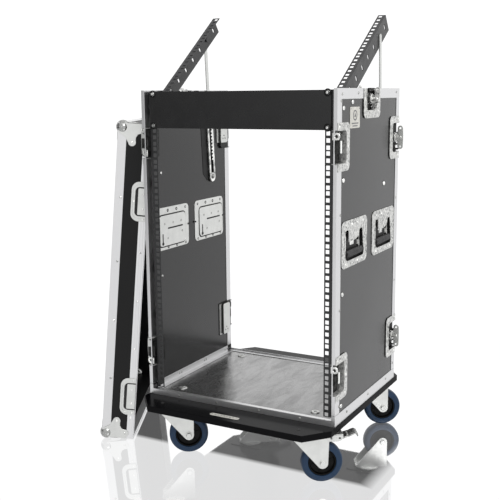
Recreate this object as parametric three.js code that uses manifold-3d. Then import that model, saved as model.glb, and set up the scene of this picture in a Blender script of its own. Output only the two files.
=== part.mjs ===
// Roadcase for 19 inch equipment: open front and back, tilting mixer rails on top,
// a castor board under it and its front lid leaning against the left side.
// Millimetres, +X right, +Y to the back, +Z up, floor at z = 0.
import * as THREE from "three";
import { mergeVertices } from "three/addons/utils/BufferGeometryUtils.js";
import Module from "manifold-3d";

const wasm = await Module();
wasm.setup();

// ---- driving dimensions ----
const U = 44.45; // one rack unit
const RACK_UNITS = 17; // front rails
const MIXER_UNITS = 8; // tilting rails
const HOLE_X = 232.55; // half the width between the hole columns
const HOLE = 9.5; // square hole
const RAIL_IN = 225, RAIL_OUT = 245, RAIL_T = 2;
const RACK_TOP = 918; // top of the first rack unit
const CASE_TOP = 921, CASE_BOTTOM = 145.6;
const FRONT = -13.4, REAR = 394.5; // front and rear faces of the body
const OUT = 260, PANEL_OUT = 258.6, PANEL_IN = 252.2; // side wall build-up
const EDGE_T = 1.1, WEB = 1.5, GAP = 0.3;
const EDGE_W = 26.4, TOP_W = 24, REAR_W = 22, BOTTOM_W = 26.4;
const BASE_TOP = 155, BASE_LOW = 146.9;
const CX = 169.633, CY = 201.648; // middle of the whole footprint, moved to the origin below
const LATCH_V = 54, LATCH_U = 70, POCKET_V = 36.3, POCKET_U = 50.8, POCKET_W = 12.8;
const HUB_U = -25, HUB_R = 12, WING_V = 31, WING_LOW = 5, WING_W = 21;
const FOLD_W = -2.2, TOP_TURN = 115; // height of a folded wing, turn of the top wings
const LATCH_HIGH = 792, LATCH_LOW = 258, LATCH_TOP_Y = 196;
const REAR_HIGH = 797, REAR_LOW = 271;
const HANDLE_Y = [95.5, 288.7], HANDLE_Z = 567.4;
const TILT = { right: 34.4, left: 37.5 }; // rest angle of the mixer rails, degrees
const MIXER_DEEP = 43; // side flange of a mixer rail
const MIXER_HINGE = [59.536, 892.387]; // hinge bolt of a mixer rail (y, z)
const STAY_FOOT = [295.8, RACK_TOP - 233.2]; // pivot of the stay's channel (y, z)
const BOARD = { x: 262, y0: -94, y1: 475, z0: 129.5, z1: 145.3, cut: 49, cutY: 58 };
const CASTOR_X = 187, CASTOR_Y = [-16, 396], CASTOR_YAW = 33;
const TRAIL = 38, WHEEL_R = 50, WHEEL_HALF = 14.5;
const LID = { w: 520, d: 85, h: 840, x: -329.7, y: -2, yaw: 26.4, lean: 5.15 };

// ---- materials ----
const mat = (name, color, metalness, roughness) => {
  const m = new THREE.MeshStandardMaterial({ color, metalness, roughness });
  m.name = name;
  return m;
};
const M = {
  laminate: mat("black_laminate", 0x2a2a2c, 0.0, 0.5),
  base: mat("film_plywood", 0x1b1a1a, 0.0, 0.2),
  aluminium: mat("anodised_aluminium", 0xc9cacc, 1.0, 0.35),
  steel: mat("black_steel", 0x202022, 0.2, 0.45),
  zinc: mat("zinc_plate", 0xa9aaa6, 1.0, 0.4),
  grip: mat("grip_rubber", 0x151515, 0.0, 0.7),
  board: mat("board_black", 0x121213, 0.0, 0.35),
  wheel: mat("blue_wheel", 0x22344f, 0.0, 0.55),
  pedal: mat("black_plastic", 0x1d1d1f, 0.0, 0.5),
};

// ---- solids ----
const X = new THREE.Vector3(1, 0, 0), Y = new THREE.Vector3(0, 1, 0);
const Z = new THREE.Vector3(0, 0, 1);
const vec = (x, y, z) => new THREE.Vector3(x, y, z);
const rad = (d) => (d * Math.PI) / 180;

// A three.js geometry as a boolean operand, faces turned outward.
function solid(geometry) {
  let g = geometry.index ? geometry.toNonIndexed() : geometry.clone();
  const flat = new THREE.BufferGeometry();
  flat.setAttribute("position", g.getAttribute("position"));
  g = mergeVertices(flat, 1e-4);
  const p = g.attributes.position.array, t = new Uint32Array(g.index.array);
  let v = 0;
  for (let i = 0; i < t.length; i += 3) {
    const [a, b, c] = [t[i] * 3, t[i + 1] * 3, t[i + 2] * 3];
    v += p[a] * (p[b + 1] * p[c + 2] - p[b + 2] * p[c + 1]);
    v -= p[a + 1] * (p[b] * p[c + 2] - p[b + 2] * p[c]);
    v += p[a + 2] * (p[b] * p[c + 1] - p[b + 1] * p[c]);
  }
  if (v < 0)
    for (let i = 0; i < t.length; i += 3) [t[i + 1], t[i + 2]] = [t[i + 2], t[i + 1]];
  const keep = [];
  for (let i = 0; i < t.length; i += 3)
    if (t[i] !== t[i + 1] && t[i + 1] !== t[i + 2] && t[i] !== t[i + 2])
      keep.push(t[i], t[i + 1], t[i + 2]);
  return new wasm.Manifold(new wasm.Mesh({
    numProp: 3, vertProperties: new Float32Array(p), triVerts: new Uint32Array(keep),
  }));
}
const join = (...s) => s.reduce((a, b) => a.add(b));
const cut = (s, ...tools) => tools.reduce((a, b) => a.subtract(b), s);

function back(s) {
  const m = s.getMesh();
  const g = new THREE.BufferGeometry();
  g.setAttribute("position", new THREE.BufferAttribute(new Float32Array(m.vertProperties), 3));
  g.setIndex(new THREE.BufferAttribute(new Uint32Array(m.triVerts), 1));
  return g;
}
const basis = (o, u, v, w) =>
  new THREE.Matrix4().makeBasis(u, v, w).setPosition(o.x, o.y, o.z);

function boxG(x0, x1, y0, y1, z0, z1) {
  const g = new THREE.BoxGeometry(x1 - x0, y1 - y0, z1 - z0);
  g.translate((x0 + x1) / 2, (y0 + y1) / 2, (z0 + z1) / 2);
  return g;
}
const box = (...a) => solid(boxG(...a));
const boxIn = (m, ...a) => solid(boxG(...a).applyMatrix4(m));

// Outline (list of [x, y]) with holes, drawn in the plane u, v of m and grown along w.
function plateIn(m, outline, holes, w0, w1) {
  const s = new THREE.Shape(outline.map((q) => new THREE.Vector2(...q)));
  for (const h of holes) s.holes.push(new THREE.Path(h.map((q) => new THREE.Vector2(...q))));
  const g = new THREE.ExtrudeGeometry(s, { depth: w1 - w0, bevelEnabled: false });
  g.translate(0, 0, w0);
  return solid(g.applyMatrix4(m));
}
const square = (x, y, a) => [
  [x - a, y - a], [x + a, y - a], [x + a, y + a], [x - a, y + a],
];
// Rectangle with a radius of its own at each corner: low-left, low-right, high-right, high-left.
function rounded(x0, y0, x1, y1, r, n = 3) {
  const out = [];
  const arc = (cx, cy, q, a0) => {
    if (q <= 0) return out.push([cx, cy]);
    for (let i = 0; i <= n; i++) {
      const a = rad(a0 + (90 * i) / n);
      out.push([cx + q * Math.cos(a), cy + q * Math.sin(a)]);
    }
  };
  arc(x0 + r[0], y0 + r[0], r[0], 180);
  arc(x1 - r[1], y0 + r[1], r[1], 270);
  arc(x1 - r[2], y1 - r[2], r[2], 0);
  arc(x0 + r[3], y1 - r[3], r[3], 90);
  return out;
}
// A round bar from p to q.
function rod(p, q, r, n = 20) {
  const d = q.clone().sub(p);
  const g = new THREE.CylinderGeometry(r, r, d.length(), n);
  const turn = new THREE.Quaternion().setFromUnitVectors(Y, d.clone().normalize());
  g.applyQuaternion(turn);
  const c = p.clone().add(q).multiplyScalar(0.5);
  g.translate(c.x, c.y, c.z);
  return solid(g);
}
// Closed profile (list of [radius, along]) turned about the m frame's second axis.
function turned(m, profile, n = 36) {
  const pts = [...profile, profile[0]].map((q) => new THREE.Vector2(...q));
  return solid(new THREE.LatheGeometry(pts, n).applyMatrix4(m));
}

// ---- the assembly ----
const group = new THREE.Group();
group.name = "mixer_rack_case";
const inner = new THREE.Group();
inner.position.set(CX, -CY, 0);
group.add(inner);
function put(name, s, material) {
  const m = new THREE.Mesh(back(s), material);
  m.name = name;
  inner.add(m);
}
function mirrored(s) {
  const g = back(s);
  g.scale(-1, 1, 1);
  return solid(g);
}
// A sub-part of the right side and its twin on the left.
function pair(name, s, material, tail = "") {
  put(name + "_right" + tail, s, material);
  put(name + "_left" + tail, mirrored(s), material);
}

// ---- recessed latches: where they sit on the right wall ----
const frameOf = (o, u) => basis(o, u, X.clone().cross(u), X);
const LATCHES = [
  ["front_upper", frameOf(vec(OUT, FRONT, LATCH_HIGH), vec(0, -1, 0))],
  ["front_lower", frameOf(vec(OUT, FRONT, LATCH_LOW), vec(0, -1, 0))],
  ["rear_upper", frameOf(vec(OUT, REAR, REAR_HIGH), vec(0, 1, 0))],
  ["rear_lower", frameOf(vec(OUT, REAR, REAR_LOW), vec(0, 1, 0))],
  ["top", frameOf(vec(OUT, LATCH_TOP_Y, CASE_TOP), vec(0, 0, 1))],
];
const latchCut = (m) =>
  boxIn(m, -POCKET_U - 1.5, 6, -POCKET_V - 1.5, POCKET_V + 1.5, -30, 0.2);
// the profile's web carries on past each pocket as a narrow strip
const stripOf = (m) => boxIn(m, -WEB, 0.5, -POCKET_V - 4, POCKET_V + 4, -9.5, -6);

function latchHousing(m) {
  const g = POCKET_V + 1.2, e = -WEB;
  const r = rounded(-LATCH_U, -LATCH_V, e, LATCH_V, [14, 0, 0, 14]);
  const plate = plateIn(m, [
    [e, -LATCH_V], [e, -g], [-POCKET_U, -g], [-POCKET_U, g], [e, g], [e, LATCH_V],
    ...r.slice(6), ...r.slice(0, 4),
  ], [], 0.3, 1.5);
  const shell = cut(
    boxIn(m, -POCKET_U - 1.2, -WEB - GAP, -g, g, -POCKET_W - 1.2, 1.4),
    boxIn(m, -POCKET_U, 2, -POCKET_V, POCKET_V, -POCKET_W, 3),
  );
  const side = new THREE.Matrix4().makeBasis(X, Z, vec(0, -1, 0));
  const hook = plateIn(m.clone().multiply(side), [
    [-11, -13.4], [-6, -13.4], [-3.5, -5.6], [0.6, -5.6], [0.6, 2.4], [-2, 2.4], [-2, -2.6],
    [-6.5, -2.6], [-10, -9.6], [-11, -9.6],
  ], [], -14, 14);
  return join(plate, shell, hook);
}
// A wing that stands out of the pocket, turned about its hub, or one folded down into it.
function latchWing(m, turn, folded) {
  const top = folded ? FOLD_W : 2, low = GAP - POCKET_W;
  const hub = solid(
    new THREE.CylinderGeometry(HUB_R, HUB_R, top - low, 16)
      .rotateX(Math.PI / 2)
      .translate(HUB_U, 0, (top + low) / 2)
      .applyMatrix4(m),
  );
  const blade = m.clone()
    .multiply(new THREE.Matrix4().makeTranslation(HUB_U, 0, 0))
    .multiply(new THREE.Matrix4().makeRotationZ(rad(-turn)));
  if (folded)
    return join(hub, plateIn(blade, rounded(-9, -WING_V, 9, WING_V, [8, 8, 8, 8]), [],
      FOLD_W - 2.6, FOLD_W));
  return join(hub, boxIn(blade, -4, 4, -6, 6, 0, WING_LOW + 2),
    plateIn(blade.multiply(new THREE.Matrix4().makeBasis(Y, Z, X)),
      rounded(-WING_V, WING_LOW, WING_V, WING_W, [7, 7, 7, 7]), [], -1.5, 1.5));
}

// ---- recessed handles ----
const DISH = { y: 59, z0: -42.4, z1: 34, x: 245.2 };
const PIN_Z = 24.2, GRIP_Z = -25, GRIP_R = 9, ARM_Y = [48.3, 53]; // from the dish's centre
// opening of the plate: a tongue covers the middle above the grip, a slot on each side clears an arm
const MOUTH = [
  [-53, -38], [53, -38], [56, -35], [56, 24], [53, 27.5], [36, 27.5], [31, 23], [31, 16],
  [26, 10.5], [16, 7], [0, 5.2], [-41, 5], [-43, 8], [-43, 29], [-46, 32], [-53, 32], [-56, 29],
  [-56, -35],
];
function handleHousing(cy) {
  const m = basis(vec(0, cy, HANDLE_Z), Y, Z, X);
  const d = DISH;
  const plate = plateIn(m, rounded(-78.5, -55, 78.5, 55, [16, 16, 16, 16]),
    [MOUTH], PANEL_OUT + GAP, PANEL_OUT + 1.8);
  const tub = cut(
    boxIn(m, -d.y - 1.2, d.y + 1.2, d.z0 - 1.2, d.z1 + 1.2, d.x - 1.2, PANEL_OUT + 1.0),
    plateIn(m, rounded(-d.y, d.z0, d.y, d.z1, [9, 9, 9, 9], 3), [], d.x, OUT + 5),
  );
  return join(tub, plate);
}
const handleCut = (cy) => box(
  230, 280, cy - DISH.y - 1.5, cy + DISH.y + 1.5,
  HANDLE_Z + DISH.z0 - 1.5, HANDLE_Z + DISH.z1 + 1.5,
);
function handleBail(cy) {
  const x = 252.6, top = HANDLE_Z + PIN_Z, low = HANDLE_Z + GRIP_Z;
  const arm = (y0, y1) => box(x - 2.2, x + 2.2, cy + y0, cy + y1, low, top + 2);
  return join(
    rod(vec(x, cy - 57.2, top), vec(x, cy + 57.2, top), 2.4, 8),
    rod(vec(x + 2.8, cy - 54, low), vec(x + 2.8, cy + 54, low), GRIP_R, 16),
    arm(-ARM_Y[1], -ARM_Y[0]), arm(...ARM_Y),
  );
}
// The left one is the same part, turned half round about the vertical.
const halfTurn = (s, cy) => solid(
  back(s).translate(0, -cy, 0).rotateZ(Math.PI).translate(0, cy, 0));

// ---- body: walls, base and aluminium edging ----
let wall = box(PANEL_IN, PANEL_OUT, FRONT + WEB + GAP, REAR - WEB - GAP, BASE_LOW, CASE_TOP - WEB - GAP);
let edging = cut(
  join(
    box(PANEL_IN - GAP - EDGE_T, OUT, FRONT, FRONT + EDGE_W, 172.3, CASE_TOP),
    box(PANEL_IN - GAP - EDGE_T, OUT, REAR - REAR_W, REAR, 172.3, CASE_TOP),
    box(PANEL_IN - GAP - EDGE_T, OUT, FRONT, REAR, CASE_TOP - TOP_W, CASE_TOP),
  ),
  box(PANEL_IN - GAP, PANEL_OUT + GAP, FRONT + WEB, REAR - WEB, 0, CASE_TOP - WEB),
);
for (const [, m] of LATCHES) {
  wall = wall.subtract(latchCut(m));
  edging = edging.subtract(latchCut(m).subtract(stripOf(m)));
}
for (const y of HANDLE_Y) wall = wall.subtract(handleCut(y));
pair("side_panel", wall, M.laminate);
pair("side_edging", edging, M.aluminium);

put("base_panel",
  box(-PANEL_IN + GAP, PANEL_IN - GAP, FRONT + WEB + GAP, REAR - WEB - GAP, BASE_LOW, BASE_TOP), M.base);

const low = CASE_BOTTOM, skin = CASE_BOTTOM + 1;
const sill = (y0, y1, web0, web1, lip0, lip1) => join(
  box(-OUT, OUT, web0, web1, low, 160),
  box(-OUT, OUT, y0, y1, low, skin),
  box(-250.4, 250.4, lip0, lip1, BASE_TOP + GAP, BASE_TOP + 1.5),
);
const legs = (s) => join(
  box(Math.min(s * (PANEL_OUT + GAP), s * OUT), Math.max(s * (PANEL_OUT + GAP), s * OUT),
    FRONT, REAR, low, 172),
  box(Math.min(s * 233, s * OUT), Math.max(s * 233, s * OUT), FRONT, REAR, low, skin),
  box(Math.min(s * 250.8, s * OUT), Math.max(s * 250.8, s * OUT), FRONT, FRONT + WEB, low, 172),
  box(Math.min(s * 250.8, s * OUT), Math.max(s * 250.8, s * OUT), REAR - WEB, REAR, low, 172),
);
put("base_edging", join(
  sill(FRONT, FRONT + EDGE_W, FRONT, FRONT + WEB, FRONT, FRONT + 19),
  sill(REAR - REAR_W, REAR, REAR - WEB, REAR, REAR - 17, REAR),
  legs(1), legs(-1),
), M.aluminium);

pair("inner_angle", join(
  box(PANEL_IN - GAP - 1.5, PANEL_IN - GAP, FRONT + 22, REAR - 21, BASE_TOP + GAP, 172),
  box(236, PANEL_IN - GAP, FRONT + 22, REAR - 21, BASE_TOP + GAP, BASE_TOP + 1.8),
), M.aluminium);

// ---- front rack rails and the two-unit blank panel ----
const holeLine = (units, from, sign) => {
  const out = [];
  for (let k = 0; k < units; k++)
    for (const q of [6.35, 22.225, 38.1]) out.push(from + sign * (k * U + q));
  return out;
};
const faceXZ = basis(vec(0, RAIL_T, 0), X, Z, vec(0, -1, 0));
const railLow = RACK_TOP - RACK_UNITS * U;
let rail = join(
  plateIn(faceXZ, [[RAIL_IN, railLow], [RAIL_OUT, railLow], [RAIL_OUT, RACK_TOP], [RAIL_IN, RACK_TOP]],
    holeLine(RACK_UNITS, RACK_TOP, -1).map((z) => square(HOLE_X, z, HOLE / 2)), 0, RAIL_T),
  box(RAIL_OUT - RAIL_T, RAIL_OUT, 0.5, 26, railLow, RACK_TOP),
);
for (const z of [868, 690, 470, 350, 188])
  rail = rail.add(box(RAIL_OUT - 1, PANEL_IN - GAP, 14, 25, z - 9, z + 9));
pair("rack_rail", rail, M.steel);

let blank = box(-241.3, 241.3, -3.3, -GAP, RACK_TOP - 2 * U + 0.4, RACK_TOP - 0.4);
for (const x of [-HOLE_X, HOLE_X])
  for (const z of [RACK_TOP - 6.35, RACK_TOP - 82.55]) {
    blank = blank.add(rod(vec(x, -4.9, z), vec(x, -3, z), 8.6, 14));
    blank = blank.add(rod(vec(x, -7.4, z), vec(x, -4.5, z), 5, 8));
  }
put("blank_panel", blank, M.steel);

// ---- tilting mixer rails with their ratchet stays ----
const mixLong = MIXER_UNITS * U;
const boss = (p, x0, x1, r, n = 12) => rod(vec(x0, p.y, p.z), vec(x1, p.y, p.z), r, n);
const foot = vec(0, STAY_FOOT[0], STAY_FOOT[1]);
const CH = { in: RAIL_OUT + 0.5, out: 250.4, half: 14, long: 188 };
const ROD = { half: 6, long: 203.66, thick: 3.4 };

// One rail with its stay, as they stand on the right; the ratchets of both sides differ by a tooth.
function mixerSide(tilt) {
  const along = vec(0, -Math.cos(rad(tilt)), -Math.sin(rad(tilt))); // from the upper end down
  const deep = vec(0, Math.sin(rad(tilt)), -Math.cos(rad(tilt))); // behind the rail's face
  const end = vec(0, MIXER_HINGE[0], MIXER_HINGE[1])
    .addScaledVector(along, 22.2 - mixLong).addScaledVector(deep, -22);
  const faceM = basis(end, X, along, deep);
  const flangeM = basis(vec(RAIL_OUT - RAIL_T, end.y, end.z), along, deep, X);
  const slots = [];
  for (let k = 0; k < MIXER_UNITS - 1; k++)
    if (k !== 1) slots.push(rounded(k * U + 18.8, 14, k * U + 25.6, 29.6, [3.2, 3.2, 3.2, 3.2], 2));
  let mixer = join(
    plateIn(faceM, [[RAIL_IN, 0], [RAIL_OUT, 0], [RAIL_OUT, mixLong], [RAIL_IN, mixLong]],
      holeLine(MIXER_UNITS, 0, 1).map((s) => square(HOLE_X, s, HOLE / 2)), 0, RAIL_T),
    plateIn(flangeM, [[0, 0.2], [mixLong, 0.2], [mixLong, MIXER_DEEP], [0, MIXER_DEEP]], slots,
      0, RAIL_T),
  );
  const onRail = (s, d) => end.clone().addScaledVector(along, s).addScaledVector(deep, d);
  const hingeAt = onRail(mixLong - 22.2, 22);
  const stayAt = onRail(U + 22.2, 22);
  mixer = join(mixer, boss(hingeAt, RAIL_OUT - 1, PANEL_IN - GAP, 4), boss(hingeAt, 239.5, 244, 8),
    boss(stayAt, 239.5, 244, 6.5));

  const up = stayAt.clone().sub(foot).normalize();
  const across = X.clone().cross(up);
  const stayM = basis(foot, across, up, across.clone().cross(up));
  const out3 = stayM.elements[8] > 0; // third axis along +X
  const span = (a, b) => (out3 ? [a, b] : [-b, -a]);
  const slab = (pts, holes, a, b) => plateIn(stayM, pts, holes, ...span(a, b));
  const ring = rounded(-CH.half, -14, CH.half, CH.long, [12, 12, 3, 3]);
  let channel = cut(
    slab(ring, [], CH.in, CH.out),
    slab([[-CH.half + 1.4, 11], [CH.half - 1.4, 11], [CH.half - 1.4, CH.long + 5],
      [-CH.half + 1.4, CH.long + 5]], [], CH.in - 1, CH.out - 1.2),
  );
  for (let k = 0; k < 9; k++)
    channel = channel.subtract(
      slab([[-CH.half - 1, 84 + 11 * k], [-CH.half + 3, 84 + 11 * k], [-CH.half + 3, 89 + 11 * k],
        [-CH.half - 1, 89 + 11 * k]], [], CH.in - 1, CH.out - 1.2));
  channel = channel.add(boss(foot, CH.out - 1, PANEL_IN - GAP, 4.5));
  channel = channel.add(boss(foot, 241.5, CH.in + 1, 7));

  const top = stayAt.clone().sub(foot).length() + 8, low = top - ROD.long;
  const bar = slab(rounded(-ROD.half, low, ROD.half, top, [2, 2, 5.9, 5.9], 3), [],
    CH.in + 0.3, CH.in + ROD.thick);
  const shoe = slab([[-9, low], [9, low], [9, low + 12], [-9, low + 12]], [],
    CH.in + 0.3, CH.in + ROD.thick);
  return [mixer, channel, join(bar, shoe)];
}
for (const side of ["right", "left"]) {
  const [mixer, channel, stem] = mixerSide(TILT[side])
    .map((s) => (side === "right" ? s : mirrored(s)));
  put("mixer_rail_" + side, mixer, M.steel);
  put("stay_channel_" + side, channel, M.zinc);
  put("stay_rod_" + side, stem, M.zinc);
}

// ---- handles and latches ----
HANDLE_Y.forEach((y, i) => {
  const tail = i ? "_rear" : "_front";
  put("handle_dish_right" + tail, handleHousing(y), M.zinc);
  put("handle_dish_left" + tail, halfTurn(handleHousing(y), y), M.zinc);
  pair("handle_bail", handleBail(y), M.grip, tail);
});
for (const [where, m] of LATCHES) {
  const turn = where === "top" ? TOP_TURN : 0;
  pair("latch_housing", latchHousing(m), M.zinc, "_" + where);
  const out = latchWing(m, turn, false);
  const right = where.startsWith("front") ? latchWing(m, 0, true) : out;
  put("latch_wing_right_" + where, right, M.zinc);
  put("latch_wing_left_" + where, mirrored(out), M.zinc);
}

// ---- castor board with its four castor plates ----
const b = BOARD, flat = basis(vec(0, 0, 0), X, Y, Z);
let board = plateIn(flat, [
  [-b.x + b.cut, b.y0], [b.x - b.cut, b.y0], [b.x, b.y0 + b.cutY], [b.x, b.y1 - b.cutY],
  [b.x - b.cut, b.y1], [-b.x + b.cut, b.y1], [-b.x, b.y1 - b.cutY], [-b.x, b.y0 + b.cutY],
], [], b.z0, b.z1);
const CASTORS = [
  ["front_left", -CASTOR_X, CASTOR_Y[0], false], ["front_right", CASTOR_X, CASTOR_Y[0], true],
  ["rear_left", -CASTOR_X, CASTOR_Y[1], true], ["rear_right", CASTOR_X, CASTOR_Y[1], false],
];
for (const [, x, y] of CASTORS)
  board = board.add(plateIn(flat, rounded(x - 50, y - 41, x + 50, y + 41, [8, 8, 8, 8], 3), [],
    b.z0 - 2.6, b.z0 + 1));
put("castor_board", board, M.board);

// ---- castors ----
const trail = vec(Math.cos(rad(CASTOR_YAW)), Math.sin(rad(CASTOR_YAW)), 0);
const axle = trail.clone().cross(Z);
function forkOutline(braked) {
  const pts = [[-34, 121.8], [braked ? 86 : 51, 121.8]];
  if (braked) pts.push([86, 112], [80, 105], [51, 104]);
  for (let i = 0; i <= 6; i++) {
    const a = rad(-i * 23);
    pts.push([TRAIL + 13 * Math.cos(a), WHEEL_R + 13 * Math.sin(a)]);
  }
  pts.push([-34, 114]);
  return pts;
}
for (const [where, x, y, braked] of CASTORS) {
  const m = basis(vec(x, y, 0), trail, Z, axle);
  const t1 = braked ? 86 : 51;
  const p = (t, z, a) => vec(x, y, z).addScaledVector(trail, t).addScaledVector(axle, a);
  const fork = join(
    plateIn(m, forkOutline(braked), [], 18.6, 21.2),
    plateIn(m, forkOutline(braked), [], -21.2, -18.6),
    plateIn(m, [[-34, 119.2], [t1, 119.2], [t1, 121.8], [-34, 121.8]], [], -21.2, 21.2),
    rod(vec(x, y, 121), vec(x, y, b.z0 - 2.9), 33, 20),
    rod(p(TRAIL, WHEEL_R, -25.5), p(TRAIL, WHEEL_R, 25.5), 4.6, 10),
    rod(p(TRAIL, WHEEL_R, 20.5), p(TRAIL, WHEEL_R, 25.5), 8, 6),
    rod(p(TRAIL, WHEEL_R, -25.5), p(TRAIL, WHEEL_R, -20.5), 8, 6),
  );
  put("castor_fork_" + where, fork, M.zinc);
  const c = p(TRAIL, WHEEL_R, 0);
  put("castor_wheel_" + where, turned(basis(c, trail, axle, trail.clone().cross(axle)), [
    [4.9, -17.8], [12, -17.8], [13, -7], [31, -7], [33, -WHEEL_HALF], [45, -WHEEL_HALF],
    [50, -8], [50, 8], [45, WHEEL_HALF], [33, WHEEL_HALF], [31, 7], [13, 7], [12, 17.8],
    [4.9, 17.8],
  ], 28), M.wheel);
  if (braked)
    put("castor_brake_" + where, join(
      plateIn(m, [
        [56, 109], [70, 106], [88, 108], [104, 112], [122, 113], [123, 117], [117, 121],
        [104, 122.5], [92, 118.5], [60, 118],
      ], [], -17, 17),
      rod(p(64, 112, -18.3), p(64, 112, 18.3), 3, 12),
    ), M.pedal);
}

// ---- the front lid, leaning against the left side ----
const L = LID;
const lid = (() => {
  const s = Math.sin(rad(L.yaw)), c = Math.cos(rad(L.yaw));
  const ls = Math.sin(rad(L.lean)), lc = Math.cos(rad(L.lean));
  return basis(vec(L.x, L.y, 0), vec(-s, c, 0), vec(-c * lc, -s * lc, ls), vec(c * ls, s * ls, lc));
})();
const lidBox = (...a) => boxIn(lid, ...a);
put("lid_shell", cut(
  lidBox(1.2, L.w - 1.2, 1.5, L.d - 1.2, 1.2, L.h - 1.2),
  lidBox(8.2, L.w - 8.2, -5, L.d - 8.2, 8.2, L.h - 8.2),
), M.laminate);
let outer = cut(
  lidBox(0, L.w, L.d - 22.8, L.d, 0, L.h),
  lidBox(25, L.w - 25, L.d - 30, L.d + 5, 25, L.h - 25),
);
const ballR = 18, ballIn = 11.7, ballD = 74;
for (const a of [ballIn, L.w - ballIn])
  for (const h of [ballIn, L.h - ballIn]) {
    const g = new THREE.SphereGeometry(ballR, 12, 8);
    g.translate(a, ballD, h);
    outer = outer.add(solid(g.applyMatrix4(lid)));
  }
put("lid_edging", outer.subtract(lidBox(0.9, L.w - 0.9, -5, L.d - 0.9, 0.9, L.h - 0.9)), M.aluminium);

let rim = cut(
  lidBox(0, L.w, 0, 19, 0, L.h),
  lidBox(9.7, L.w - 9.7, -5, 25, 9.7, L.h - 9.7),
  cut(lidBox(0.9, L.w - 0.9, 1.2, 30, 0.9, L.h - 0.9), lidBox(8.5, L.w - 8.5, -5, 35, 8.5, L.h - 8.5)),
);
// strike plates for the body's latches, in the (depth, height) plane of each long wall
for (const far of [false, true])
  for (const h of [119.5, 643]) {
    const o = vec(far ? L.w + 1.4 : 0.6, 0, h).applyMatrix4(lid);
    const du = new THREE.Vector3(), hu = new THREE.Vector3(), au = new THREE.Vector3();
    lid.extractBasis(au, du, hu);
    const m = basis(o, du, hu, au.clone().negate());
    rim = rim.add(plateIn(m, rounded(0.4, -51, 41, 51, [0, 20, 20, 0]),
      [rounded(10, -27, 25, 27, [3, 5, 5, 3], 3)], 0, 2));
  }
put("lid_rim", rim, M.aluminium);

export default group;
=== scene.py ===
"""Looks of a wheeled 19 inch mixer rack case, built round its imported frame.

Sizes are in millimetres in the case's own frame: x from the middle to the right, y from the face
of the rack rails to the back, z up from the floor. at() and axes() turn them into the row frame.
"""

import math

import bmesh
import bpy
from mathutils import Matrix, Vector
from mathutils.geometry import tessellate_polygon


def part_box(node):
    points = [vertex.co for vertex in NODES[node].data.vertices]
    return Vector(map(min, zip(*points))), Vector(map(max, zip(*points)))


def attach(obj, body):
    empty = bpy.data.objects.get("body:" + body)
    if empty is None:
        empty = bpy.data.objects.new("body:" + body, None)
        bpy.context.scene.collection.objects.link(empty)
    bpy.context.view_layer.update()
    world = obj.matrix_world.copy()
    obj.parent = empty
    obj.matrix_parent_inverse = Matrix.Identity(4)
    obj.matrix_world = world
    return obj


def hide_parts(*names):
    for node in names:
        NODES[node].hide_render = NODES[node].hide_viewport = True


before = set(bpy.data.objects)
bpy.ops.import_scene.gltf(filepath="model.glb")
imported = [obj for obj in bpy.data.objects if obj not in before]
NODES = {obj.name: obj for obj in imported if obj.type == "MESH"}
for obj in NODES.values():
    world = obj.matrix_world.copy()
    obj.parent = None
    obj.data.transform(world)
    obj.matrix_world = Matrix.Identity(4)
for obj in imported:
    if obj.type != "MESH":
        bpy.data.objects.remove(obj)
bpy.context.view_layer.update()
MM = 0.001

# ---- the case's frame, taken from the floor panel ----
PANEL_FRONT = -11.6  # the floor panel's front edge, before the rail face
_lo, _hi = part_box("base_panel")
X0 = (_lo.x + _hi.x) / 2
Y0 = _lo.y - PANEL_FRONT * MM

OUT, PANEL_OUT, PANEL_IN = 260.0, 258.6, 252.2  # closing profile, wall's outer and inner face
FRONT, REAR, CASE_TOP = -13.4, 394.5, 921.0
FLOOR_TOP, BOARD_TOP = 155.0, 145.3
HOLES_X = 232.55  # hole columns of the rails, from the middle
HANDLE_Z, PIN_Z = 567.4, 24.2  # trays' middle, and the bails' pins above it
# front and rear handles: middle of the tray, and the cover's reach inside
HANDLES = (("front", 95.5, 17, 174), ("rear", 288.7, 206, 356))
LATCH_HIGH, LATCH_LOW, LATCH_TOP_Y = 792.0, 258.0, 196.0
REAR_HIGH, REAR_LOW = 797.0, 271.0
EX, EY, EZ = Vector((1, 0, 0)), Vector((0, 1, 0)), Vector((0, 0, 1))


def at(x, y, z):
    return Vector((X0 + x * MM, Y0 + y * MM, z * MM))


def axes(o, u, v, w):
    """Matrix from local millimetres along u, v, w at point o of the case frame to the row frame."""
    m = Matrix.Identity(4)
    for i, a in enumerate((u, v, w)):
        for r in range(3):
            m[r][i] = a[r] * MM
    m.translation = at(*o)
    return m


def axes_of(m, a, b, c):
    """m with its axes taken in another order: a, b, c are local directions of m."""
    r = Matrix.Identity(4)
    for i, q in enumerate((a, b, c)):
        for k in range(3):
            r[k][i] = q[k]
    return m @ r


def move(m, u=0.0, v=0.0, w=0.0, turn=0.0):
    """m shifted by u, v, w and then turned about its third axis, in degrees."""
    return m @ Matrix.Translation((u, v, w)) @ Matrix.Rotation(math.radians(turn), 4, "Z")


# ---- mesh building ----
SMOOTH = math.radians(38)  # edges sharper than this stay sharp


def area(loop):
    """Positive for a loop that runs counter-clockwise."""
    return sum(a[0] * b[1] - b[0] * a[1] for a, b in zip(loop, loop[1:] + loop[:1])) / 2


def inset(loop, d):
    """Loop moved d to its left, with mitred corners."""
    out = []
    n = len(loop)
    for i, p in enumerate(loop):
        a, b = loop[i - 1], loop[(i + 1) % n]
        e1 = Vector((p[0] - a[0], p[1] - a[1])).normalized()
        e2 = Vector((b[0] - p[0], b[1] - p[1])).normalized()
        n1, n2 = Vector((-e1.y, e1.x)), Vector((-e2.y, e2.x))
        k = max(1 + n1.dot(n2), 0.4)
        q = (n1 + n2) * (d / k)
        out.append((p[0] + q.x, p[1] + q.y))
    return out


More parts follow.
